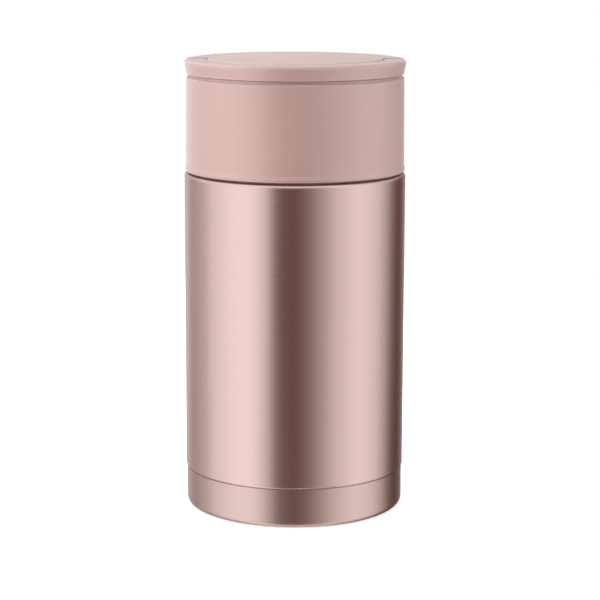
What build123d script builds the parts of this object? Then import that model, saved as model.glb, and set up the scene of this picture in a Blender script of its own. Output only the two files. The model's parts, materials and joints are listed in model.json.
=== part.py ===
"""Insulated food jar: vacuum jar, screw lid with a folding carry handle, and a vented stopper.

Millimetres, +Z up. The origin is on the jar's axis, on the plane that it stands on.
The jar's front is -Y: the handle is the front half of the lid's rim and hinges about X.
"""
from build123d import *
import os

os.makedirs("parts", exist_ok=True)

# ---------------------------------------------------------------- driving dimensions
# barrel and neck
barrel_radius = 49.0
barrel_height = 132.7
shell_wall = 0.6
shoulder_rounding = 1.5
joggle_fillet = 0.1
joggle_rounding = 0.75
shoulder_width = 5.2
neck_height = 15.7
neck_root_fillet = 0.9

# base cup, the foot of the jar
base_height = 17.6
base_step = 0.42
base_wall = 0.6
base_seam = 0.3
base_edge_rounding = 2.7
base_recess_depth = 1.5
base_recess_radius = 33.0

# inner vessel and vacuum space
vessel_wall = 0.5
vacuum_gap = 4.9
neck_vacuum_gap = 1.7
vessel_floor_gap = 7.5
vessel_floor_rounding = 12.0
vessel_throat_height = 5.0
throat_rounding = 3.0
mouth_rounding = 0.7
plate_height = 4.0
plate_rim_height = 4.5
plate_dimple_radius = 7.0
plate_dimple_depth = 2.0
plate_bend = 0.8
evacuation_hole_radius = 1.0
plug_bead_radius = 2.2
plug_bead_height = 0.8
getter_radius = 5.0
getter_thickness = 2.2
getter_rounding = 0.5
getter_offset = 24.0
clip_wall = 0.4
clip_width = 3.0
clip_foot = 3.5
foil_thickness = 0.15
foil_margin = 6.0

# lid
lid_gap = 0.9
lid_height = 41.3
lid_inset = 0.6
lid_lip = 0.25
lid_lip_height = 1.5
lid_lip_rounding = 0.5
lid_lip_slope = 1.2
lid_lip_blend = 1.5
lid_draft = 0.3
lid_wall = 1.6
lid_edge_rounding = 0.6
lid_edge_width = 1.8
deck_depth = 1.5
deck_thickness = 2.0
liner_wall = 1.4
liner_step = 1.0
liner_step_rise = 2.0
liner_corner = 6.0
thread_room = 1.1
seal_wall = 0.7
seal_sink = 0.9
seal_rounding = 0.3
lid_foam_thickness = 4.4
lid_foam_hole_room = 0.6

# top cover, disc and folding handle
groove_height = 1.35
groove_depth = 1.3
rim_height = 6.45
rim_flare = 0.75
rim_inset = 0.1
rim_flare_start = 1.0
rim_flare_end = 4.35
rim_flare_radius = 1.8
rim_rounding = 1.4
rim_width = 8.8
rim_edge_rounding = 0.4
rim_inner_rounding = 0.4
handle_clearance = 0.2
disc_gap = 0.5
disc_rise = 0.3
disc_thickness = 1.5
disc_seat_depth = 0.6
disc_edge_rounding = 0.4
disc_parting = 0.3
disc_plug_margin = 1.5
cover_wall = 1.8
pin_radius = 1.5
pin_boss_radius = 2.9
pin_boss_height = 5.0
pin_boss_margin = 1.0
pin_chamfer = 0.3
pin_inner_length = 4.7
pin_outer_length = 6.1
handle_rib_count = 11
handle_rib_width = 1.2
handle_skin = 1.9
handle_core_depth = 3.8
handle_rib_recess = 0.6
handle_core_angle = 148.0

# cover screws
screw_count = 4
screw_circle_radius = 28.0
screw_start_angle = 45.0
screw_hole_room = 0.2
screw_shank_radius = 1.4
screw_head_radius = 2.9
screw_head_height = 1.8
screw_length = 5.6
screw_socket_radius = 1.3
screw_slot_width = 0.6
screw_socket_depth = 0.9
screw_point_length = 1.2
screw_pilot_margin = 0.4
screw_boss_radius = 3.4

# stopper
plug_clearance = 1.1
plug_depth = 16.0
plug_wall = 1.6
plug_corner = 2.4
flange_inset = 0.4
flange_fillet = 0.5
gasket_thickness = 1.6
gasket_rounding = 0.4
stopper_headroom = 5.5
cap_wall = 1.8
cap_inset = 1.0
cap_top_rounding = 2.0
cap_spigot_depth = 2.0
flute_count = 12
flute_radius = 7.0
flute_depth = 1.5

# pressure release valve
button_radius = 9.0
button_wall = 1.4
button_rounding = 0.8
button_rise = 1.0
button_skirt = 5.0
button_travel = 2.5
button_stop_gap = 1.0
vent_radius = 3.2
vent_wall = 1.6
stem_hole_radius = 2.6
stem_radius = 1.9
stem_socket_depth = 2.4
stem_head_radius = 3.0
stem_head_height = 0.9
seal_disc_radius = 5.6
seal_disc_thickness = 1.8
spring_wire_radius = 0.35
spring_radius = 5.2
spring_turns = 4.0

# clearances
running_fit = 0.05
joint_clearance = 0.3
seat_clearance = 0.1

# ---------------------------------------------------------------- worked-out places
# jar
shoulder_z = base_height + barrel_height
mouth_z = shoulder_z + neck_height
neck_radius = barrel_radius - shoulder_width
base_radius = barrel_radius - base_step
sleeve_radius = base_radius - base_wall
joggle_edge = min(joggle_rounding, barrel_radius - sleeve_radius - joggle_fillet - running_fit)
plate_radius = sleeve_radius - shell_wall
plate_top_z = plate_height + shell_wall
vessel_outer_radius = barrel_radius - shell_wall - vacuum_gap
mouth_outer_radius = neck_radius - shell_wall - neck_vacuum_gap
mouth_radius = mouth_outer_radius - vessel_wall
vessel_floor_z = plate_top_z + vessel_floor_gap
throat_z = shoulder_z - shell_wall - vessel_throat_height
rim_flange_z = mouth_z - vessel_wall

# lid
lid_z = shoulder_z + lid_gap
lid_lip_z = lid_z + lid_lip_height
lid_top_z = lid_z + lid_height
lid_radius = barrel_radius - lid_inset
lid_top_radius = lid_radius - lid_draft
deck_z = lid_top_z - deck_depth
deck_under_z = deck_z - deck_thickness
skirt_radius = neck_radius + thread_room
skirt_outer_radius = skirt_radius + liner_wall
skirt_step_z = mouth_z + liner_step_rise
bowl_outer_radius = skirt_outer_radius - liner_step
foam_z = deck_under_z - lid_foam_thickness
bowl_ceiling_z = foam_z - liner_wall
shell_bore_radius = lid_radius - lid_wall
flange_edge_radius = shell_bore_radius - running_fit
seal_inner_radius = skirt_radius + seal_wall
seal_outer_radius = flange_edge_radius
seal_z = shoulder_z + seat_clearance
seal_top_z = lid_z + seal_sink
seal_roof_z = seal_top_z + running_fit

# top cover, disc and handle
rim_z = lid_top_z + groove_height
rim_top_z = rim_z + rim_height
rim_radius = lid_top_radius - rim_inset
rim_top_radius = rim_radius + rim_flare
rim_inner_radius = rim_radius - rim_width
ledge_z = rim_z - handle_clearance
well_edge_radius = lid_top_radius - lid_edge_width
cover_base_radius = well_edge_radius - seat_clearance
cover_flange_radius = lid_top_radius - groove_depth
disc_radius = rim_inner_radius - disc_gap
reach = 2 * barrel_radius
disc_seat_z = rim_top_z + disc_rise - disc_thickness
disc_plug_radius = disc_radius - pin_inner_length - disc_plug_margin
disc_plug_z = disc_seat_z - disc_seat_depth
pivot_z = rim_z + rim_height / 2
cavity_radius = disc_radius - cover_wall
cavity_top_z = disc_plug_z - cover_wall
pin_boss_start = disc_radius - pin_inner_length - pin_boss_margin
core_inner_radius = rim_inner_radius + handle_skin
core_outer_radius = rim_radius - handle_skin
core_top_z = rim_z + handle_core_depth
pin_length = pin_inner_length + disc_gap + pin_outer_length
pin_centre_x = disc_radius - pin_inner_length + pin_length / 2

# stopper
gasket_z = mouth_z + running_fit
flange_z = gasket_z + gasket_thickness + running_fit
flange_top_z = flange_z + plug_wall
plug_radius = mouth_radius - plug_clearance
plug_inner_radius = plug_radius - plug_wall
plug_z = mouth_z - plug_depth
plug_floor_z = plug_z + plug_wall
flange_radius = neck_radius - flange_inset
cap_radius = flange_radius - cap_inset
cap_inner_radius = plug_inner_radius - cap_wall
button_top_z = bowl_ceiling_z - stopper_headroom
cap_top_z = button_top_z - button_rise
cap_z = flange_top_z - cap_spigot_depth
well_radius = button_radius + joint_clearance
well_floor_z = button_top_z - button_skirt - button_travel - button_stop_gap
well_under_z = well_floor_z - cap_wall
button_under_z = button_top_z - button_wall
vent_outer_radius = vent_radius + vent_wall
seal_disc_top_z = plug_z - seat_clearance
seal_disc_z = seal_disc_top_z - seal_disc_thickness
stem_foot_z = seal_disc_z - stem_head_height


# ---------------------------------------------------------------- helpers
def finish(piece, name):
    """Label one finished piece and write it to its own STEP file."""
    piece.part.label = name
    export_step(piece.part, f"parts/{name}.step")


def rim_section(inner_radius):
    """Section of the lid's top rim, from this inner radius out: straight foot, flared side, rounded top."""
    with BuildSketch(Plane.XZ) as section:
        with BuildLine():
            outside = FilletPolyline(
                (inner_radius, rim_z),
                (rim_radius, rim_z),
                (rim_radius, rim_z + rim_flare_start),
                (rim_top_radius, rim_z + rim_flare_end),
                (rim_top_radius, rim_top_z),
                (inner_radius, rim_top_z),
                radius=[rim_edge_rounding, rim_flare_radius, rim_flare_radius, rim_rounding],
            )
            Line(outside @ 1, outside @ 0)
        make_face()
        fillet(section.vertices().group_by(Axis.Y)[-1].sort_by(Axis.X)[0], rim_inner_rounding)
    return section.sketch


def arc_plane(angle):
    """Upright plane through the axis, its X pointing out at this angle from +X."""
    return Plane(origin=(0, 0, 0), x_dir=Vector(1, 0, 0).rotate(Axis.Z, angle),
                 z_dir=Vector(0, -1, 0).rotate(Axis.Z, angle))


# ---------------------------------------------------------------- jar
with BuildPart() as outer_shell:
    with BuildSketch(Plane.XZ):
        with BuildLine():
            FilletPolyline(
                (sleeve_radius, plate_height),
                (sleeve_radius, base_height),
                (barrel_radius, base_height),
                (barrel_radius, shoulder_z),
                (neck_radius, shoulder_z),
                (neck_radius, rim_flange_z),
                radius=[joggle_fillet, joggle_edge, shoulder_rounding, neck_root_fillet],
            )
            offset(amount=shell_wall, side=Side.LEFT)
        make_face()
    revolve(axis=Axis.Z)
finish(outer_shell, "outer_shell")

with BuildPart() as inner_vessel:
    with BuildSketch(Plane.XZ):
        with BuildLine():
            FilletPolyline(
                (0, vessel_floor_z),
                (vessel_outer_radius, vessel_floor_z),
                (vessel_outer_radius, throat_z),
                (mouth_outer_radius, throat_z + vessel_throat_height),
                (mouth_outer_radius, rim_flange_z),
                (neck_radius, rim_flange_z),
                radius=[vessel_floor_rounding, throat_rounding, throat_rounding, mouth_rounding],
            )
            offset(amount=vessel_wall, side=Side.LEFT)
        make_face()
    revolve(axis=Axis.Z)
finish(inner_vessel, "inner_vessel")

with BuildPart() as base_cup:
    with BuildSketch(Plane.XZ):
        with BuildLine():
            FilletPolyline(
                (0, base_recess_depth),
                (base_recess_radius, base_recess_depth),
                (base_recess_radius + base_recess_depth, 0),
                (base_radius, 0),
                (base_radius, base_height - base_seam),
                radius=[base_recess_depth, base_recess_depth, base_edge_rounding],
            )
            offset(amount=base_wall, side=Side.LEFT)
        make_face()
    revolve(axis=Axis.Z)
finish(base_cup, "base_cup")

with BuildPart() as vacuum_plate:
    with BuildSketch(Plane.XZ):
        with BuildLine():
            FilletPolyline(
                (0, plate_height + plate_dimple_depth),
                (plate_dimple_radius, plate_height + plate_dimple_depth),
                (plate_dimple_radius + plate_dimple_depth, plate_height),
                (plate_radius, plate_height),
                (plate_radius, plate_height + plate_rim_height),
                radius=[plate_bend, plate_bend, plate_bend],
            )
            offset(amount=shell_wall, side=Side.LEFT)
        make_face()
    revolve(axis=Axis.Z)
    with Locations((0, 0, plate_height + plate_dimple_depth)):
        Hole(evacuation_hole_radius)
finish(vacuum_plate, "vacuum_plate")

with BuildPart() as vacuum_plug:
    dimple_z = plate_height + plate_dimple_depth
    with BuildSketch(Plane.XZ):
        with BuildLine():
            bead = EllipticalCenterArc((0, dimple_z), plug_bead_radius, plug_bead_height,
                                       start_angle=270, arc_size=90)
            Polyline(bead @ 1, (0, dimple_z), bead @ 0)
        make_face()
    revolve(axis=Axis.Z)
    with BuildSketch(Plane.XY.offset(dimple_z)):
        Circle(evacuation_hole_radius)
    extrude(amount=shell_wall)
finish(vacuum_plug, "vacuum_plug")

with BuildPart() as getter:
    with Locations((getter_offset, 0, plate_top_z)):
        Cylinder(getter_radius, getter_thickness, align=(Align.CENTER, Align.CENTER, Align.MIN))
    fillet(getter.edges().group_by(Axis.Z)[-1], getter_rounding)
finish(getter, "getter")

with BuildPart() as getter_clip:
    clip_top_z = plate_top_z + getter_thickness
    clip_reach = getter_radius + clip_wall
    with BuildSketch(Plane.XZ):
        with BuildLine():
            Polyline(
                (getter_offset - clip_reach - clip_foot, plate_top_z),
                (getter_offset - getter_radius, plate_top_z),
                (getter_offset - getter_radius, clip_top_z),
                (getter_offset + getter_radius, clip_top_z),
                (getter_offset + getter_radius, plate_top_z),
                (getter_offset + clip_reach + clip_foot, plate_top_z),
            )
            offset(amount=clip_wall, side=Side.LEFT, kind=Kind.INTERSECTION)
        make_face()
    extrude(amount=clip_width / 2, both=True)
finish(getter_clip, "getter_clip")

with BuildPart() as heat_foil:
    foil_bottom_z = vessel_floor_z + vessel_floor_rounding + foil_margin
    foil_height = throat_z - foil_margin - foil_bottom_z
    with BuildSketch(Plane.XY.offset(foil_bottom_z)):
        Circle(vessel_outer_radius + foil_thickness)
        Circle(vessel_outer_radius, mode=Mode.SUBTRACT)
    extrude(amount=foil_height)
finish(heat_foil, "heat_foil")

# ---------------------------------------------------------------- lid
with BuildPart() as lid_seal:
    with BuildSketch(Plane.XZ):
        with BuildLine():
            Polyline(
                (seal_inner_radius, seal_z),
                (seal_outer_radius, seal_z),
                (seal_outer_radius, seal_top_z),
                (seal_inner_radius, seal_top_z),
                close=True,
            )
        section = make_face()
        fillet(section.vertices().group_by(Axis.Y)[0], seal_rounding)
    revolve(axis=Axis.Z)
finish(lid_seal, "lid_seal")

with BuildPart() as lid_shell:
    with BuildSketch(Plane.XZ):
        with BuildLine():
            outside = FilletPolyline(
                (shell_bore_radius, lid_z),
                (lid_radius + lid_lip, lid_z),
                (lid_radius + lid_lip, lid_lip_z),
                (lid_radius, lid_lip_z + lid_lip_slope),
                (lid_top_radius, lid_top_z),
                (well_edge_radius, lid_top_z),
                radius=[lid_lip_rounding, lid_lip_rounding, lid_lip_blend, lid_edge_rounding],
            )
            Polyline(
                outside @ 1,
                (well_edge_radius, deck_z),
                (0, deck_z),
                (0, deck_under_z),
                (lid_top_radius - lid_wall, deck_under_z),
                outside @ 0,
            )
        make_face()
    revolve(axis=Axis.Z)
    with Locations((0, 0, deck_z)):
        with PolarLocations(screw_circle_radius, screw_count, start_angle=screw_start_angle):
            Hole(screw_shank_radius + screw_hole_room)
finish(lid_shell, "lid_shell")

with BuildPart() as lid_liner:
    with BuildSketch(Plane.XZ):
        with BuildLine():
            FilletPolyline(
                (skirt_outer_radius, lid_z),
                (skirt_outer_radius, skirt_step_z),
                (bowl_outer_radius, skirt_step_z + liner_step),
                (bowl_outer_radius, foam_z),
                (0, foam_z),
                radius=[liner_step, liner_step, liner_corner],
            )
            offset(amount=liner_wall, side=Side.LEFT)
        make_face()
    revolve(axis=Axis.Z)
    # flange that closes the shell's foot, over a rebate for the seal
    with BuildSketch(Plane.XZ):
        with BuildLine():
            Polyline(
                (skirt_radius, seal_roof_z),
                (flange_edge_radius, seal_roof_z),
                (flange_edge_radius, seal_roof_z + liner_wall),
                (skirt_radius, seal_roof_z + liner_wall),
                close=True,
            )
        make_face()
    revolve(axis=Axis.Z)
    with BuildSketch(Plane.XZ):
        with BuildLine():
            Polyline(
                (seal_inner_radius - running_fit, lid_z),
                (skirt_outer_radius, lid_z),
                (skirt_outer_radius, seal_roof_z),
                (seal_inner_radius - running_fit, seal_roof_z),
                close=True,
            )
        make_face()
    revolve(axis=Axis.Z, mode=Mode.SUBTRACT)
finish(lid_liner, "lid_liner")

with BuildPart() as lid_insulation:
    with BuildSketch(Plane.XY.offset(foam_z)):
        Circle(bowl_outer_radius)
        with PolarLocations(screw_circle_radius, screw_count, start_angle=screw_start_angle):
            Circle(screw_head_radius + lid_foam_hole_room, mode=Mode.SUBTRACT)
    extrude(amount=lid_foam_thickness)
finish(lid_insulation, "lid_insulation")

# ---------------------------------------------------------------- top cover, disc and handle
with BuildPart() as top_cover:
    # base plate in the deck's well, its flange over the lid's edge, and the pedestal that carries the disc
    with BuildSketch(Plane.XY.offset(deck_z)):
        Circle(cover_base_radius)
    extrude(amount=ledge_z - deck_z)
    with BuildSketch(Plane.XY.offset(lid_top_z)):
        Circle(cover_flange_radius)
    extrude(amount=ledge_z - lid_top_z)
    with BuildSketch(Plane.XY.offset(deck_z)):
        Circle(disc_radius)
    extrude(amount=disc_seat_z - deck_z)
    # cored from below
    with BuildSketch(Plane.XY.offset(deck_z)):
        Circle(cavity_radius)
    extrude(amount=cavity_top_z - deck_z, mode=Mode.SUBTRACT)
    # fixed rear half of the rim, on a foot that stands on the base plate
    revolve(rim_section(disc_radius + disc_parting), axis=Axis.Z, revolution_arc=180)
    with BuildSketch(Plane.XZ):
        with BuildLine():
            Polyline(
                (cavity_radius, ledge_z),
                (cover_flange_radius, ledge_z),
                (cover_flange_radius, rim_z),
                (rim_inner_radius, rim_z),
                (rim_inner_radius, disc_seat_z),
                (cavity_radius, disc_seat_z),
                close=True,
            )
        make_face()
    revolve(axis=Axis.Z, revolution_arc=180)
    # room for the handle's rounded ends
    with BuildSketch(Plane.XY.offset(ledge_z)):
        Rectangle(reach, rim_height / 2 + handle_clearance, align=(Align.CENTER, Align.MIN))
        Circle(disc_radius, mode=Mode.SUBTRACT)
    extrude(amount=rim_top_z - ledge_z, mode=Mode.SUBTRACT)
    # bosses inside the pedestal: two for the pins, and one for each screw
    for side in (-1, 1):
        with Locations((side * (cavity_radius + pin_boss_start) / 2, 0, disc_plug_z)):
            Box(cavity_radius - pin_boss_start, 2 * pin_boss_radius, pin_boss_height,
                align=(Align.CENTER, Align.CENTER, Align.MAX))
    with Locations((0, 0, deck_z)):
        with PolarLocations(screw_circle_radius, screw_count, start_angle=screw_start_angle):
            Cylinder(screw_boss_radius, cavity_top_z - deck_z, align=(Align.CENTER, Align.CENTER, Align.MIN))
            Cylinder(screw_shank_radius, screw_length - deck_thickness + screw_pilot_margin,
                     align=(Align.CENTER, Align.CENTER, Align.MIN), mode=Mode.SUBTRACT)
    # seat for the disc's plug, and the pin holes
    with BuildSketch(Plane.XY.offset(disc_plug_z)):
        Circle(disc_plug_radius)
    extrude(amount=disc_seat_depth, mode=Mode.SUBTRACT)
    with Locations((pin_centre_x, 0, pivot_z), (-pin_centre_x, 0, pivot_z)):
        Cylinder(pin_radius, pin_length, rotation=(0, 90, 0), mode=Mode.SUBTRACT)
finish(top_cover, "top_cover")

with BuildPart() as top_disc:
    with BuildSketch(Plane.XY.offset(disc_plug_z)):
        Circle(disc_plug_radius - seat_clearance)
    extrude(amount=disc_seat_depth)
    with BuildSketch(Plane.XY.offset(disc_seat_z)):
        Circle(disc_radius)
    extrude(amount=disc_thickness)
    fillet(top_disc.edges().group_by(Axis.Z)[-1], disc_edge_rounding)
finish(top_disc, "top_disc")

with BuildPart() as cover_screws:
    with Locations((0, 0, deck_under_z)):
        with PolarLocations(screw_circle_radius, screw_count, start_angle=screw_start_angle):
            Cylinder(screw_head_radius, screw_head_height, align=(Align.CENTER, Align.CENTER, Align.MAX))
            Cylinder(screw_shank_radius, screw_length, align=(Align.CENTER, Align.CENTER, Align.MIN))
    head_edges = cover_screws.edges().group_by(Axis.Z)[0]
    fillet(head_edges, screw_head_height / 3)
    point_edges = cover_screws.edges().group_by(Axis.Z)[-1]
    chamfer(point_edges, screw_point_length, screw_shank_radius / 2)
    with Locations((0, 0, deck_under_z - screw_head_height)):
        with PolarLocations(screw_circle_radius, screw_count, start_angle=screw_start_angle):
            with Locations((0, 0, screw_socket_depth / 2)):
                Box(2 * screw_socket_radius, screw_slot_width, screw_socket_depth, mode=Mode.SUBTRACT)
                Box(screw_slot_width, 2 * screw_socket_radius, screw_socket_depth, mode=Mode.SUBTRACT)
finish(cover_screws, "cover_screws")

with BuildPart() as handle_pins:
    with Locations((pin_centre_x, 0, pivot_z), (-pin_centre_x, 0, pivot_z)):
        Cylinder(pin_radius, pin_length, rotation=(0, 90, 0))
    chamfer(handle_pins.edges().filter_by(GeomType.CIRCLE), pin_chamfer)
finish(handle_pins, "handle_pins")

with BuildPart() as handle:
    revolve(rim_section(rim_inner_radius), axis=Axis.Z)
    # keep the front half, with ends rounded about the pivot
    with BuildSketch(Plane.YZ):
        with Locations((0, pivot_z)):
            Rectangle(reach, reach, align=(Align.MAX, Align.CENTER))
            Circle(rim_height / 2)
    extrude(amount=reach, both=True, mode=Mode.INTERSECT)
    # cored underneath, with cross ribs
    with BuildSketch(arc_plane(270 - handle_core_angle / 2)):
        with BuildLine():
            Polyline(
                (core_inner_radius, rim_z),
                (core_outer_radius, rim_z),
                (core_outer_radius, core_top_z),
                (core_inner_radius, core_top_z),
                close=True,
            )
        make_face()
    revolve(axis=Axis.Z, revolution_arc=handle_core_angle, mode=Mode.SUBTRACT)
    with Locations((0, 0, core_top_z)):
        with PolarLocations((core_inner_radius + core_outer_radius) / 2, handle_rib_count,
                            start_angle=270 - handle_core_angle / 2, angular_range=handle_core_angle,
                            endpoint=True):
            Box(core_outer_radius - core_inner_radius + handle_skin, handle_rib_width,
                handle_core_depth - handle_rib_recess, align=(Align.CENTER, Align.CENTER, Align.MAX))
    # running holes for the pins, blind on the outside
    for side in (-1, 1):
        with Locations((side * (rim_inner_radius + pin_outer_length / 2), 0, pivot_z)):
            Cylinder(pin_radius + running_fit, pin_outer_length + 2 * joint_clearance, rotation=(0, 90, 0),
                     mode=Mode.SUBTRACT)
finish(handle, "handle")

# ---------------------------------------------------------------- stopper
with BuildPart() as stopper_gasket:
    with BuildSketch(Plane.XZ) as gasket_section:
        with BuildLine():
            Polyline(
                (plug_radius + flange_fillet + running_fit, gasket_z),
                (flange_radius, gasket_z),
                (flange_radius, gasket_z + gasket_thickness),
                (plug_radius + flange_fillet + running_fit, gasket_z + gasket_thickness),
                close=True,
            )
        make_face()
        fillet(gasket_section.vertices().group_by(Axis.X)[-1], gasket_rounding)
    revolve(axis=Axis.Z)
finish(stopper_gasket, "stopper_gasket")

with BuildPart() as stopper_body:
    with BuildSketch(Plane.XZ):
        with BuildLine():
            FilletPolyline(
                (0, plug_z),
                (plug_radius, plug_z),
                (plug_radius, flange_z),
                (flange_radius, flange_z),
                radius=[plug_corner, flange_fillet],
            )
            offset(amount=plug_wall, side=Side.LEFT)
        make_face()
    revolve(axis=Axis.Z)
    with BuildSketch(Plane.XY.offset(plug_floor_z)):
        Circle(vent_outer_radius)
        Circle(vent_radius, mode=Mode.SUBTRACT)
    extrude(amount=well_under_z - plug_floor_z)
    with Locations((0, 0, plug_floor_z)):
        Cylinder(stem_hole_radius, 2 * plug_wall, mode=Mode.SUBTRACT)
finish(stopper_body, "stopper_body")

with BuildPart() as stopper_insulation:
    with BuildSketch(Plane.XY.offset(plug_floor_z)):
        Circle(plug_inner_radius)
        Circle(vent_outer_radius, mode=Mode.SUBTRACT)
    extrude(amount=min(cap_z, well_under_z) - plug_floor_z)
    outer_edges = stopper_insulation.edges().group_by(Axis.Z)[0].sort_by(SortBy.RADIUS)
    chamfer(outer_edges[-1], plug_corner)
finish(stopper_insulation, "stopper_insulation")

with BuildPart() as stopper_cap:
    # fluted grip with a rounded top
    with BuildSketch(Plane.XY.offset(flange_top_z)):
        Circle(cap_radius)
        with PolarLocations(cap_radius + flute_radius - flute_depth, flute_count):
            Circle(flute_radius, mode=Mode.SUBTRACT)
    extrude(amount=cap_top_z - flange_top_z)
    fillet(stopper_cap.edges().group_by(Axis.Z)[-1], cap_top_rounding)
    # hollow inside, with a spigot that locates it in the plug
    with BuildSketch(Plane.XY.offset(flange_top_z)):
        Circle(cap_inner_radius)
    extrude(amount=cap_top_z - cap_wall - flange_top_z, mode=Mode.SUBTRACT)
    with BuildSketch(Plane.XY.offset(cap_z)):
        Circle(plug_inner_radius)
        Circle(cap_inner_radius, mode=Mode.SUBTRACT)
    extrude(amount=cap_spigot_depth)
    # well for the button
    with BuildSketch(Plane.XY.offset(well_under_z)):
        Circle(well_radius + cap_wall)
    extrude(amount=cap_top_z - cap_wall - well_under_z)
    with BuildSketch(Plane.XY.offset(well_floor_z)):
        Circle(well_radius)
    extrude(amount=cap_top_z - well_floor_z, mode=Mode.SUBTRACT)
    with Locations((0, 0, well_floor_z)):
        Cylinder(stem_hole_radius, 2 * cap_wall, mode=Mode.SUBTRACT)
finish(stopper_cap, "stopper_cap")

# ---------------------------------------------------------------- pressure release valve
with BuildPart() as valve_button:
    with BuildSketch(Plane.XY.offset(button_top_z)):
        Circle(button_radius)
    extrude(amount=-button_skirt)
    fillet(valve_button.edges().group_by(Axis.Z)[-1], button_rounding)
    with BuildSketch(Plane.XY.offset(button_under_z)):
        Circle(button_radius - button_wall)
        Circle(stem_radius + button_wall, mode=Mode.SUBTRACT)
    extrude(amount=button_wall - button_skirt, mode=Mode.SUBTRACT)
    with BuildSketch(Plane.XY.offset(button_under_z - stem_socket_depth)):
        Circle(button_radius - button_wall)
    extrude(amount=button_wall + stem_socket_depth - button_skirt, mode=Mode.SUBTRACT)
    with BuildSketch(Plane.XY.offset(button_under_z)):
        Circle(stem_radius)
    extrude(amount=-stem_socket_depth, mode=Mode.SUBTRACT)
finish(valve_button, "valve_button")

with BuildPart() as valve_stem:
    with BuildSketch(Plane.XY.offset(stem_foot_z)):
        Circle(stem_radius)
    extrude(amount=button_under_z - stem_foot_z)
    with BuildSketch(Plane.XY.offset(stem_foot_z)):
        Circle(stem_head_radius)
    extrude(amount=stem_head_height)
    fillet(valve_stem.edges().group_by(Axis.Z)[0], stem_head_height / 3)
finish(valve_stem, "valve_stem")

with BuildPart() as valve_seal:
    with BuildSketch(Plane.XY.offset(seal_disc_z)):
        Circle(seal_disc_radius)
        Circle(stem_radius, mode=Mode.SUBTRACT)
    extrude(amount=seal_disc_thickness)
    seal_edges = valve_seal.edges().group_by(Axis.Z)[0].sort_by(SortBy.RADIUS)
    fillet(seal_edges[-1], seal_disc_thickness / 2)
finish(valve_seal, "valve_seal")

with BuildPart() as valve_spring:
    coil_z = well_floor_z + spring_wire_radius
    coil_height = button_under_z - seat_clearance - spring_wire_radius - coil_z
    with BuildLine(Plane.XY.offset(coil_z)):
        coil = Helix(coil_height / spring_turns, coil_height, spring_radius)
    with BuildSketch(Plane(origin=coil @ 0, z_dir=coil % 0)):
        Circle(spring_wire_radius)
    sweep(path=coil, is_frenet=True)
finish(valve_spring, "valve_spring")
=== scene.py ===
"""Looks of the insulated food jar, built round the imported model. Metres, +Z up, front towards -Y."""
import json
import math

import bmesh
import bpy
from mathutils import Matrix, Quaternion, Vector


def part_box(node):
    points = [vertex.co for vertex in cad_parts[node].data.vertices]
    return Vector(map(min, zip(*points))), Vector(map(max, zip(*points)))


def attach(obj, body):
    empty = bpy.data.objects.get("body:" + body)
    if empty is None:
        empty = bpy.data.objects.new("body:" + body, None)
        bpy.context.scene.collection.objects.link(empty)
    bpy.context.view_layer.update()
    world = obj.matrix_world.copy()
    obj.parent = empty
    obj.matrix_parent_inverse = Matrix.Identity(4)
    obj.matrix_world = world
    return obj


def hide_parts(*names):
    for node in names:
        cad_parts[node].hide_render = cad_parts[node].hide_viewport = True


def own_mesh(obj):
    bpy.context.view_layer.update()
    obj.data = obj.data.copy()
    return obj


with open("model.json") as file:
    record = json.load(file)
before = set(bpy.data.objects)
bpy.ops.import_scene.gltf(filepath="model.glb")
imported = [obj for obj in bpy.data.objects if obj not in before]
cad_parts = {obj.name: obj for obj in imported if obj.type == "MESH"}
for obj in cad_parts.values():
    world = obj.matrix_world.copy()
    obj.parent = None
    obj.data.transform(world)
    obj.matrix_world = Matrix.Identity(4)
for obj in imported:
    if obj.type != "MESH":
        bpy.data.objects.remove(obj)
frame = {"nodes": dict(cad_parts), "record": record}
nodes = frame["nodes"]
joints = {joint["name"]: joint for joint in frame["record"]["behaviour"]["joints"]}
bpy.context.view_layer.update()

MM = 0.001
WHITE = (1, 1, 1, 1)


# ---------------------------------------------------------------- camera
LENS_MM = 125.3
SENSOR_MM = 36.0
PITCH = math.radians(10.523)    # how far the camera looks down
ROLL = math.radians(0.15)
DISTANCE = 0.9393
AIM_HEIGHT = 0.0922
SHIFT_X = 0.0089
CLIP = (0.05, 20.0)


def make_camera():
    """A long lens in front of the jar, a little above level."""
    data = bpy.data.cameras.new("camera")
    data.lens = LENS_MM
    data.sensor_width = SENSOR_MM
    data.shift_x = SHIFT_X
    data.clip_start, data.clip_end = CLIP
    camera = bpy.data.objects.new("camera", data)
    back = Vector((0, -math.cos(PITCH), math.sin(PITCH)))
    camera.location = Vector((0, 0, AIM_HEIGHT)) + back * DISTANCE
    camera.rotation_mode = "QUATERNION"
    camera.rotation_quaternion = (-back).to_track_quat("-Z", "Y") @ Quaternion((0, 0, 1), ROLL)
    bpy.context.scene.collection.objects.link(camera)
    bpy.context.scene.camera = camera


# ---------------------------------------------------------------- colours and nodes
def linear(*rgb):
    """An sRGB colour, 0 to 255, as the linear colour that a shader takes."""
    out = []
    for v in rgb:
        v /= 255
        out.append(v / 12.92 if v <= 0.04045 else ((v + 0.055) / 1.055) ** 2.4)
    return (*out, 1.0)


def scaled(color, factor):
    """A colour made darker or lighter."""
    return (*(min(1.0, c * factor) for c in color[:3]), 1.0)


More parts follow.
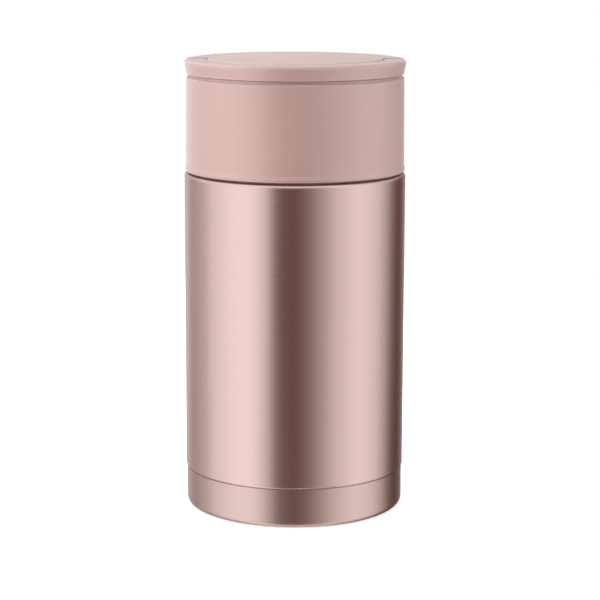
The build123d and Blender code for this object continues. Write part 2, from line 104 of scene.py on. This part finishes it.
class Tree:
    """A node tree, with short calls that make and link its nodes."""

    def __init__(self, tree):
        self.tree = tree

    def node(self, kind, **values):
        """A new node. values are its own settings, such as a mode."""
        made = self.tree.nodes.new(kind)
        for key, value in values.items():
            setattr(made, key, value)
        return made

    def link(self, source, target):
        self.tree.links.new(source, target)

    def compute(self, operation, *values):
        """A Math node's output. Each value is a number or the output of another node."""
        made = self.node("ShaderNodeMath", operation=operation)
        for socket, value in zip(made.inputs, values):
            if isinstance(value, float):
                socket.default_value = value
            else:
                self.link(value, socket)
        return made.outputs["Value"]

    def background_ray(self):
        """1 for the rays that show the white background: the camera's, glossy and transmission rays."""
        path = self.node("ShaderNodeLightPath")
        shown = self.compute("MAXIMUM", path.outputs["Is Camera Ray"], path.outputs["Is Glossy Ray"])
        return self.compute("MAXIMUM", shown, path.outputs["Is Transmission Ray"])


SOCKETS = {
    "color": "Base Color", "metallic": "Metallic", "roughness": "Roughness", "ior": "IOR",
    "specular": "Specular IOR Level", "anisotropic": "Anisotropic", "turn": "Anisotropic Rotation",
    "coat": "Coat Weight", "coat_roughness": "Coat Roughness", "sheen": "Sheen Weight",
    "subsurface": "Subsurface Weight", "subsurface_scale": "Subsurface Scale", "glow": "Emission Color",
}
MID_NOISE = (0.3, 0.7)    # where most of a noise texture's values lie


class Graph(Tree):
    """A new material's node tree, with its Principled shader."""

    def __init__(self, name):
        self.material = bpy.data.materials.new(name)
        self.material.use_nodes = True
        super().__init__(self.material.node_tree)
        self.shader = self.tree.nodes["Principled BSDF"]

    def set(self, **values):
        """Values on the shader's own sockets."""
        for key, value in values.items():
            self.shader.inputs[SOCKETS[key]].default_value = value

    def place(self):
        """The point in object space."""
        return self.node("ShaderNodeTexCoord").outputs["Object"]

    def noise(self, scale, detail, stretch=(1, 1, 1)):
        """Noise over object space. A large number in stretch makes it fine along that axis."""
        mapping = self.node("ShaderNodeMapping")
        mapping.inputs["Scale"].default_value = stretch
        texture = self.node("ShaderNodeTexNoise")
        texture.inputs["Scale"].default_value = scale
        texture.inputs["Detail"].default_value = detail
        self.link(self.place(), mapping.inputs["Vector"])
        self.link(mapping.outputs["Vector"], texture.inputs["Vector"])
        return texture.outputs["Fac"]

    def remap(self, value, start, end, low=0.0, high=1.0, **kind):
        """The range start to end of a value, brought to low to high."""
        made = self.node("ShaderNodeMapRange", **kind)
        made.inputs["From Min"].default_value = start
        made.inputs["From Max"].default_value = end
        made.inputs["To Min"].default_value = low
        made.inputs["To Max"].default_value = high
        self.link(value, made.inputs["Value"])
        return made.outputs["Result"]

    def tones(self, value, dark, light, ends=MID_NOISE):
        """The base colour: dark at the value's first end, light at its second."""
        ramp = self.node("ShaderNodeValToRGB")
        for element, position, color in zip(ramp.color_ramp.elements, ends, (dark, light)):
            element.position = position
            element.color = color
        self.link(value, ramp.inputs["Fac"])
        self.link(ramp.outputs["Color"], self.shader.inputs["Base Color"])

    def bump(self, value, strength, distance, below=None):
        """The normal of a height map, on top of another normal where below is given."""
        made = self.node("ShaderNodeBump")
        made.inputs["Strength"].default_value = strength
        made.inputs["Distance"].default_value = distance
        self.link(value, made.inputs["Height"])
        if below is not None:
            self.link(below, made.inputs["Normal"])
        return made.outputs["Normal"]

    def dress(self, normal, roughness=None):
        """The finished material, with its normal linked, and its roughness where one is given."""
        self.link(normal, self.shader.inputs["Normal"])
        if roughness is not None:
            self.link(roughness, self.shader.inputs["Roughness"])
        return self.material


# ---------------------------------------------------------------- materials
LINE_STRETCH = (40, 40, 5000)     # noise drawn out round the axis, which makes fine level lines
LINE_SPREAD = 0.03                # how far the roughness goes up and down between them
LINE_DEPTH = 0.01 * MM
PATCH_STRETCH = (1, 1, 4)
PATCH_DEPTH = 0.2 * MM
ANISOTROPY = 0.6
QUARTER_TURN = 0.25


def brushed(name, color, roughness):
    """Steel brushed round its axis: fine level lines, and a gloss that is drawn out across them."""
    g = Graph(name)
    g.set(color=color, metallic=1.0, anisotropic=ANISOTROPY, turn=QUARTER_TURN)
    tangent = g.node("ShaderNodeTangent", direction_type="RADIAL", axis="Z")
    g.link(tangent.outputs["Tangent"], g.shader.inputs["Tangent"])
    lines = g.noise(scale=1.0, detail=3.0, stretch=LINE_STRETCH)
    patches = g.noise(scale=40.0, detail=2.0, stretch=PATCH_STRETCH)
    rough = g.remap(lines, *MID_NOISE, roughness - LINE_SPREAD, roughness + LINE_SPREAD)
    normal = g.bump(lines, strength=0.03, distance=LINE_DEPTH)
    normal = g.bump(patches, strength=0.01, distance=PATCH_DEPTH, below=normal)
    return g.dress(normal, rough)


SLOW_TONES = (0.985, 1.02)        # shares of the colour
SLOW_ROUGHNESS = (-0.02, 0.03)    # added to the roughness
GRAIN_DEPTH = 0.05 * MM


def moulded(name, color, roughness, grain=3000.0, relief=0.03, **more):
    """Moulded plastic: a fine sparked grain, and slow changes of tone and gloss."""
    g = Graph(name)
    g.set(**more)
    fine = g.noise(scale=grain, detail=2.0)
    slow = g.noise(scale=35.0, detail=3.0)
    g.tones(slow, *(scaled(color, share) for share in SLOW_TONES))
    rough = g.remap(slow, *MID_NOISE, *(roughness + change for change in SLOW_ROUGHNESS))
    return g.dress(g.bump(fine, strength=relief, distance=GRAIN_DEPTH), rough)


MARK_ROUGHNESS = (-0.05, 0.08)    # added to the roughness
MARK_DEPTH = 0.03 * MM


def plain_metal(name, color, roughness, scale=900.0):
    """Metal with small handling marks."""
    g = Graph(name)
    g.set(color=color, metallic=1.0)
    marks = g.noise(scale, detail=3.0)
    rough = g.remap(marks, *MID_NOISE, *(roughness + change for change in MARK_ROUGHNESS))
    return g.dress(g.bump(marks, strength=0.08, distance=MARK_DEPTH), rough)


CELL_SCALE = 700.0
CELL_SHADE = 0.8
CELL_ENDS = (0.0, 0.5)
CELL_DEPTH = 0.3 * MM


def foam(name, color):
    """Expanded foam: small round cells, darker in the middle."""
    g = Graph(name)
    g.set(roughness=0.9, subsurface=0.1, subsurface_scale=2 * MM)
    cells = g.node("ShaderNodeTexVoronoi")
    cells.inputs["Scale"].default_value = CELL_SCALE
    g.link(g.place(), cells.inputs["Vector"])
    g.tones(cells.outputs["Distance"], scaled(color, CELL_SHADE), color, CELL_ENDS)
    return g.dress(g.bump(cells.outputs["Distance"], strength=0.5, distance=CELL_DEPTH))


rose_steel = brushed("rose_steel", linear(218, 190, 185), 0.30)
base_steel = brushed("base_steel", linear(209, 183, 177), 0.34)
bare_steel = brushed("bare_steel", linear(214, 211, 206), 0.28)
pink_plastic = moulded("pink_plastic", linear(183, 143, 135), 0.4, specular=0.95, ior=1.6, coat=1.0,
                       coat_roughness=0.34, sheen=0.35)
disc_plastic = moulded("disc_plastic", linear(197, 178, 172), 0.42, grain=5000.0, relief=0.05)
inner_plastic = moulded("inner_plastic", linear(214, 208, 202), 0.42)
silicone = moulded("silicone", linear(205, 198, 192), 0.55, grain=2200.0, relief=0.02,
                   subsurface=0.15, subsurface_scale=1 * MM)
# The lid seal: a silicone colour darkened to rose-brown, partly painted shade that deepens the gap under
# the lid.
seal_silicone = moulded("seal_silicone", linear(150, 118, 108), 0.6, grain=2200.0, relief=0.02)
foam_material = foam("foam", linear(238, 234, 224))
spring_steel = plain_metal("spring_steel", linear(200, 200, 202), 0.2)
screw_steel = plain_metal("screw_steel", linear(190, 190, 194), 0.3)
foil = plain_metal("foil", linear(226, 226, 228), 0.15, scale=200.0)
getter_metal = plain_metal("getter_metal", linear(96, 96, 99), 0.6)
solder = plain_metal("solder", linear(160, 160, 164), 0.45)

DRESSING = {
    rose_steel: ("outer_shell",),
    base_steel: ("base_cup",),
    bare_steel: ("inner_vessel", "vacuum_plate"),
    pink_plastic: ("lid_shell", "lid_liner", "top_cover", "handle", "valve_button"),
    disc_plastic: ("top_disc",),
    inner_plastic: ("stopper_body", "stopper_cap", "valve_stem"),
    silicone: ("stopper_gasket", "valve_seal"),
    seal_silicone: ("lid_seal",),
    foam_material: ("lid_insulation", "stopper_insulation"),
    spring_steel: ("valve_spring", "getter_clip"),
    screw_steel: ("cover_screws", "handle_pins"),
    foil: ("heat_foil",),
    getter_metal: ("getter",),
    solder: ("vacuum_plug",),
}


def dress_nodes():
    """Each CAD node's material."""
    for material, names in DRESSING.items():
        for name in names:
            data = nodes[name].data
            data.materials.clear()
            data.materials.append(material)


# ---------------------------------------------------------------- swept pieces
def add_sweep(mesh, rings):
    """A closed solid through rings of points, with a face over each end."""
    made = [[mesh.verts.new(point) for point in ring] for ring in rings]
    mesh.faces.new(made[0])
    for last, ring in zip(made, made[1:]):
        for j in range(len(ring)):
            k = (j + 1) % len(ring)
            mesh.faces.new((last[j], last[k], ring[k], ring[j]))
    mesh.faces.new(list(reversed(made[-1])))


def add_piece(name, mesh, material, body):
    """A bmesh as a smooth piece of the model, which rides on a body."""
    bmesh.ops.recalc_face_normals(mesh, faces=mesh.faces)
    data = bpy.data.meshes.new(name)
    mesh.to_mesh(data)
    mesh.free()
    for polygon in data.polygons:
        polygon.use_smooth = True
    data.materials.append(material)
    piece = bpy.data.objects.new(name, data)
    bpy.context.scene.collection.objects.link(piece)
    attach(piece, body)
    return piece


def around(radius, angle, z):
    """The point at a radius and an angle round the jar's axis, at a height."""
    return (radius * math.cos(angle), radius * math.sin(angle), z)


# ---------------------------------------------------------------- threads, in millimetres
def screw_lead(lift, turn):
    """How far a screw rises in one turn, worked out from the ranges of its two joints."""
    turns = joints[turn]["range_deg"][1] / 360
    return round(joints[lift]["range_m"][1] / MM / turns, 3)


LID_LEAD = screw_lead("lid_lift", "lid_turn")
STOPPER_LEAD = screw_lead("stopper_lift", "stopper_turn")
THREAD_STARTS = 4
THREAD_ROOM = 1.1                 # between the two walls of a screw
NECK_WALLS = 2.8                  # both steel walls of the neck and the space between them
vessel_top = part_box("inner_vessel")[1]
MOUTH_Z = round(vessel_top[2] / MM, 3)
NECK_RADIUS = round(vessel_top[0] / MM, 3)    # the vessel's flange is as wide as the neck
SKIRT_RADIUS = NECK_RADIUS + THREAD_ROOM
MOUTH_RADIUS = NECK_RADIUS - NECK_WALLS
PLUG_RADIUS = MOUTH_RADIUS - THREAD_ROOM
NECK_SPAN = (-12.6, -2.6)         # a thread's lower and upper end, from the mouth's height
SKIRT_SPAN = (-10.6, -5.6)
STOPPER_SPAN = (-10.0, -3.0)
THREAD_HEIGHT = 0.65
THREAD_SINK = 0.1                 # how far the ridge's back lies in the wall
RUN_OUT = 3.0                     # how steeply its ends run out
RUN_OUT_BEND = 0.7
FLANK_BEND = 1.3
RING_STEP = 2.5                   # degrees between rings
ACROSS = 8                        # steps across the ridge
BETWEEN = 0.5                     # a shift to halfway between two ridges


def ridge_height(share, side):
    """The ridge's height over its wall at a share of its length, and from -1 to 1 across it."""
    full = min(1.0, math.sin(math.pi * share) * RUN_OUT) ** RUN_OUT_BEND
    bulge = math.cos(side * math.pi / 2) ** FLANK_BEND if abs(side) < 1 else 0.0
    return (THREAD_HEIGHT + THREAD_SINK) * full * bulge - THREAD_SINK


def thread(radius, outward, lead, span, half_width, shift=0.0):
    """Right-handed ridges round a wall, one for each start, running out into the wall at both ends.

    At angle 0 the helix is at the mouth's height. shift raises it by a share of the way to the next one.
    """
    mesh = bmesh.new()
    bottom, top = MOUTH_Z + span[0], MOUTH_Z + span[1]
    steps = round(360 * (top - bottom) / lead / RING_STEP)
    for start in range(THREAD_STARTS):
        rings = []
        for i in range(steps + 1):
            share = i / steps
            z = bottom + (top - bottom) * share
            angle = 2 * math.pi * ((z - MOUTH_Z) / lead + (start - shift) / THREAD_STARTS)
            ring = []
            for j in range(ACROSS + 1):
                side = 2 * j / ACROSS - 1
                r = radius + outward * ridge_height(share, side)
                ring.append(around(r * MM, angle, (z + side * half_width) * MM))
            rings.append(ring)
        add_sweep(mesh, rings)
    return mesh


def make_threads():
    """The lid's and the stopper's threads. In each pair, a ridge of one runs between two of the other."""
    neck = thread(NECK_RADIUS, 1, LID_LEAD, NECK_SPAN, half_width=1.3)
    add_piece("neck_thread", neck, rose_steel, "jar")
    skirt = thread(SKIRT_RADIUS, -1, LID_LEAD, SKIRT_SPAN, half_width=1.1, shift=BETWEEN)
    add_piece("lid_thread", skirt, pink_plastic, "lid")
    mouth = thread(MOUTH_RADIUS, -1, STOPPER_LEAD, STOPPER_SPAN, half_width=1.1)
    add_piece("mouth_thread", mouth, bare_steel, "jar")
    plug = thread(PLUG_RADIUS, 1, STOPPER_LEAD, STOPPER_SPAN, half_width=1.0, shift=BETWEEN)
    add_piece("plug_thread", plug, inner_plastic, "stopper")


# ---------------------------------------------------------------- valve spring
SPRING_WIRE_RADIUS = 0.35 * MM
SPRING_TURNS = 4.5
CLOSED_TURNS = 0.75               # at each end, where the wire lies close on itself
CLOSED_PITCH = 0.75 * MM
STEPS_PER_TURN = 36
WIRE_SIDES = 10


def wire_height(turn, bottom, top):
    """The wire's height after so many turns: a close pitch at both ends, and a wider one between."""
    if turn < CLOSED_TURNS:
        return bottom + turn * CLOSED_PITCH
    if turn > SPRING_TURNS - CLOSED_TURNS:
        return top - (SPRING_TURNS - turn) * CLOSED_PITCH
    closed = CLOSED_TURNS * CLOSED_PITCH
    share = (turn - CLOSED_TURNS) / (SPRING_TURNS - 2 * CLOSED_TURNS)
    return bottom + closed + share * (top - bottom - 2 * closed)


def make_valve_spring():
    """The button's return spring, with its end turns closed."""
    low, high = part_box("valve_spring")
    bottom, top = low[2] + SPRING_WIRE_RADIUS, high[2] - SPRING_WIRE_RADIUS
    radius = (high[0] - low[0]) / 2 - SPRING_WIRE_RADIUS
    steps = round(SPRING_TURNS * STEPS_PER_TURN)
    rings = []
    for i in range(steps + 1):
        turn = SPRING_TURNS * i / steps
        z = wire_height(turn, bottom, top)
        ring = []
        for j in range(WIRE_SIDES):
            side = 2 * math.pi * j / WIRE_SIDES
            r = radius + SPRING_WIRE_RADIUS * math.cos(side)
            ring.append(around(r, 2 * math.pi * turn, z + SPRING_WIRE_RADIUS * math.sin(side)))
        rings.append(ring)
    mesh = bmesh.new()
    add_sweep(mesh, rings)
    coil = add_piece("valve_spring_coil", mesh, spring_steel, "stopper")
    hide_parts("valve_spring")
    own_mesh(coil)


# ---------------------------------------------------------------- tent
TENT_RADIUS = 2.0
TENT_DEPTH = 9.0
TENT_SIDES = 96
TENT_STRENGTH = 1.3
HIDDEN_FROM = ("visible_camera", "visible_diffuse", "visible_shadow", "visible_transmission")
WARMTH = (0.07, 0.092)            # what green and blue lose where warm light is dimmest
FOOT_EDGE = (-0.58, -0.3)         # heights between which the foot's levels change to the barrel's
SKY_EDGE = (0.35, 1.0)            # and the barrel's to the sky's

# A level is an azimuth in degrees, 0 at the front and + to the right, its brightness, and how warm its dim
# light is. The first one is straight behind the jar, where the ring closes.
FOOT_LEVELS = (
    (180, 0.25, 1.0),
    (-156, 0.5, 1.0), (-134, 0.34, 1.0), (-112, 0.47, 1.0), (-88, 0.83, 1.0), (-62, 1.0, 1.0),
    (-44, 0.97, 1.0), (-30, 0.63, 1.0), (-17, 0.185, 1.0), (-8, 0.15, 0.7), (2, 0.135, 0.8),
    (14, 0.19, 1.0), (27, 0.37, 1.0), (45, 0.685, 1.0), (70, 0.91, 1.0), (92, 0.80, 1.0),
    (108, 0.41, 0.9), (120, 0.07, 0.6), (134, 0.05, 0.5), (148, 0.14, 0.5), (164, 0.38, 1.0),
)
BARREL_LEVELS = (
    (180, 0.25, 1.0),
    (-156, 0.6, 1.0), (-134, 0.38, 1.0), (-112, 0.50, 1.0), (-88, 0.85, 1.0), (-62, 1.0, 1.0),
    (-44, 0.99, 1.0), (-31, 0.76, 1.0), (-18, 0.07, 1.0), (-9, 0.045, 1.0), (2, 0.078, 1.0),
    (14, 0.19, 1.0), (27, 0.38, 1.0), (45, 0.69, 1.0), (70, 0.89, 1.0), (92, 0.77, 1.0),
    (108, 0.50, 0.9), (122, 0.18, 0.7), (136, 0.07, 0.5), (148, 0.14, 0.5), (164, 0.38, 1.0),
)
SKY_LEVELS = (
    (180, 0.12, 0.0),
    (-160, 0.5, 0.0), (-120, 0.85, 0.0), (-55, 0.95, 0.0), (-12, 0.62, 0.0), (12, 0.62, 0.0),
    (60, 0.9, 0.0), (120, 0.6, 0.0), (164, 0.15, 0.0),
)


def tent_color(level, warmth):
    """The tent's colour at a brightness: dim light loses some green and blue."""
    loss = warmth * (1 - level)
    return (level, *(max(level - share * loss, 0) for share in WARMTH), 1.0)


def tent_ring(g, azimuth, levels):
    """The colour round the jar, by azimuth as 0 to 1."""
    ramp = g.node("ShaderNodeValToRGB")
    ramp.color_ramp.interpolation = "EASE"
    elements = ramp.color_ramp.elements
    behind, *others = levels
    for end in elements:
        end.color = tent_color(*behind[1:])
    for degrees, level, warmth in others:
        elements.new((degrees + 180) / 360).color = tent_color(level, warmth)
    g.link(azimuth, ramp.inputs["Fac"])
    return ramp.outputs["Color"]


def above(g, z, lower, upper, edge):
    """The upper colour over the lower one, with a soft change between the two heights of edge."""
    mix = g.node("ShaderNodeMix", data_type="RGBA")
    factor, color_a, color_b = mix.inputs[0], mix.inputs[6], mix.inputs[7]
    g.link(g.remap(z, *edge, interpolation_type="SMOOTHSTEP"), factor)
    g.link(lower, color_a)
    g.link(upper, color_b)
    return mix.outputs[2]


def make_tent():
    """A tall ring of light round the jar, seen only in its gloss.

    Low down it is soft boxes left and right with dark between them. Higher up it is more evenly bright.
    """
    bpy.ops.mesh.primitive_cylinder_add(vertices=TENT_SIDES, radius=TENT_RADIUS, depth=TENT_DEPTH,
                                        end_fill_type="NOTHING")
    tent = bpy.context.object
    tent.name = "studio_tent"
    for flag in HIDDEN_FROM:
        setattr(tent, flag, False)
    g = Graph("studio_tent")
    split = g.node("ShaderNodeSeparateXYZ")
    g.link(g.place(), split.inputs["Vector"])
    x, y, z = split.outputs
    turn = g.compute("ARCTAN2", x, g.compute("MULTIPLY", y, -1.0))
    azimuth = g.remap(turn, -math.pi, math.pi)
    color = above(g, z, tent_ring(g, azimuth, FOOT_LEVELS), tent_ring(g, azimuth, BARREL_LEVELS), FOOT_EDGE)
    color = above(g, z, color, tent_ring(g, azimuth, SKY_LEVELS), SKY_EDGE)
    shine = g.node("ShaderNodeEmission")
    shine.inputs["Strength"].default_value = TENT_STRENGTH
    g.link(color, shine.inputs["Color"])
    g.link(shine.outputs["Emission"], g.tree.nodes["Material Output"].inputs["Surface"])
    tent.data.materials.append(g.material)


# ---------------------------------------------------------------- lamps, world and floor
LAMP_AIM = Vector((0, 0, 0.1))
LAMPS = (       # name, azimuth and elevation in degrees, distance, width, height, power in watts
    ("left_box", -68, 25, 1.5, 1.0, 1.4, 14.5),
    ("right_box", 94, 25, 1.5, 0.9, 1.4, 10),
    ("top_box", -125, 60, 0.5, 0.3, 0.3, 1.1),
)


def area_light(name, azimuth, elevation, distance, width, height, power):
    """A soft box aimed at the jar. It isn't seen in gloss, where the tent stands for it."""
    data = bpy.data.lights.new(name, "AREA")
    data.shape = "RECTANGLE"
    data.size, data.size_y = width, height
    data.energy = power
    lamp = bpy.data.objects.new(name, data)
    a, e = math.radians(azimuth), math.radians(elevation)
    out = Vector((math.sin(a) * math.cos(e), -math.cos(a) * math.cos(e), math.sin(e)))
    lamp.location = LAMP_AIM + out * distance
    lamp.rotation_mode = "QUATERNION"
    lamp.rotation_quaternion = (-out).to_track_quat("-Z", "Y")
    lamp.visible_glossy = False
    lamp.visible_camera = False
    bpy.context.scene.collection.objects.link(lamp)


AMBIENT = 0.65                    # the world's light on the jar
BACKGROUND = 1.0                  # white, where the world itself is seen


def make_world():
    """White where the background is seen, and a plain even light elsewhere."""
    world = bpy.data.worlds.new("studio")
    bpy.context.scene.world = world
    world.use_nodes = True
    g = Tree(world.node_tree)
    g.tree.nodes.clear()
    mix = g.node("ShaderNodeMixShader")
    g.link(g.background_ray(), mix.inputs["Fac"])
    for socket, strength in ((mix.inputs[1], AMBIENT), (mix.inputs[2], BACKGROUND)):
        light = g.node("ShaderNodeBackground")
        light.inputs["Color"].default_value = WHITE
        light.inputs["Strength"].default_value = strength
        g.link(light.outputs["Background"], socket)
    g.link(mix.outputs["Shader"], g.node("ShaderNodeOutputWorld").inputs["Surface"])


FLOOR_COLOR = (0.92, 0.92, 0.92, 1)
FLOOR_LIFT = 0.38                 # what brings the lit floor to white where it is seen
NEAR_RADIUS = 0.047
FLOOR_RADIUS = 0.6
FLOOR_SIDES = 96


def floor_circle(radius):
    return [around(radius, 2 * math.pi * i / FLOOR_SIDES, 0) for i in range(FLOOR_SIDES)]


def add_floor(name, points, faces, material, in_gloss):
    data = bpy.data.meshes.new(name)
    data.from_pydata(points, [], faces)
    data.materials.append(material)
    floor = bpy.data.objects.new(name, data)
    floor.visible_glossy = in_gloss
    bpy.context.scene.collection.objects.link(floor)


def make_floor():
    """A level floor. Only its disc under the foot shows in gloss, so that the foot's edge mirrors the tent.

    The other glossy rays from low on the jar meet the tent below the floor's level.
    """
    g = Graph("floor")
    g.set(color=FLOOR_COLOR, roughness=1.0, specular=0.0, glow=WHITE)
    g.link(g.compute("MULTIPLY", g.background_ray(), FLOOR_LIFT), g.shader.inputs["Emission Strength"])
    near, far = floor_circle(NEAR_RADIUS), floor_circle(FLOOR_RADIUS)
    add_floor("floor_near", near, [range(FLOOR_SIDES)], g.material, in_gloss=True)
    faces = []
    for i in range(FLOOR_SIDES):
        k = (i + 1) % FLOOR_SIDES
        faces.append((i, FLOOR_SIDES + i, FLOOR_SIDES + k, k))
    add_floor("floor", near + far, faces, g.material, in_gloss=False)


# ---------------------------------------------------------------- the scene
make_camera()
make_world()
make_floor()
make_tent()
for lamp in LAMPS:
    area_light(*lamp)
dress_nodes()
make_threads()
make_valve_spring()

bpy.context.scene.view_settings.view_transform = "Standard"
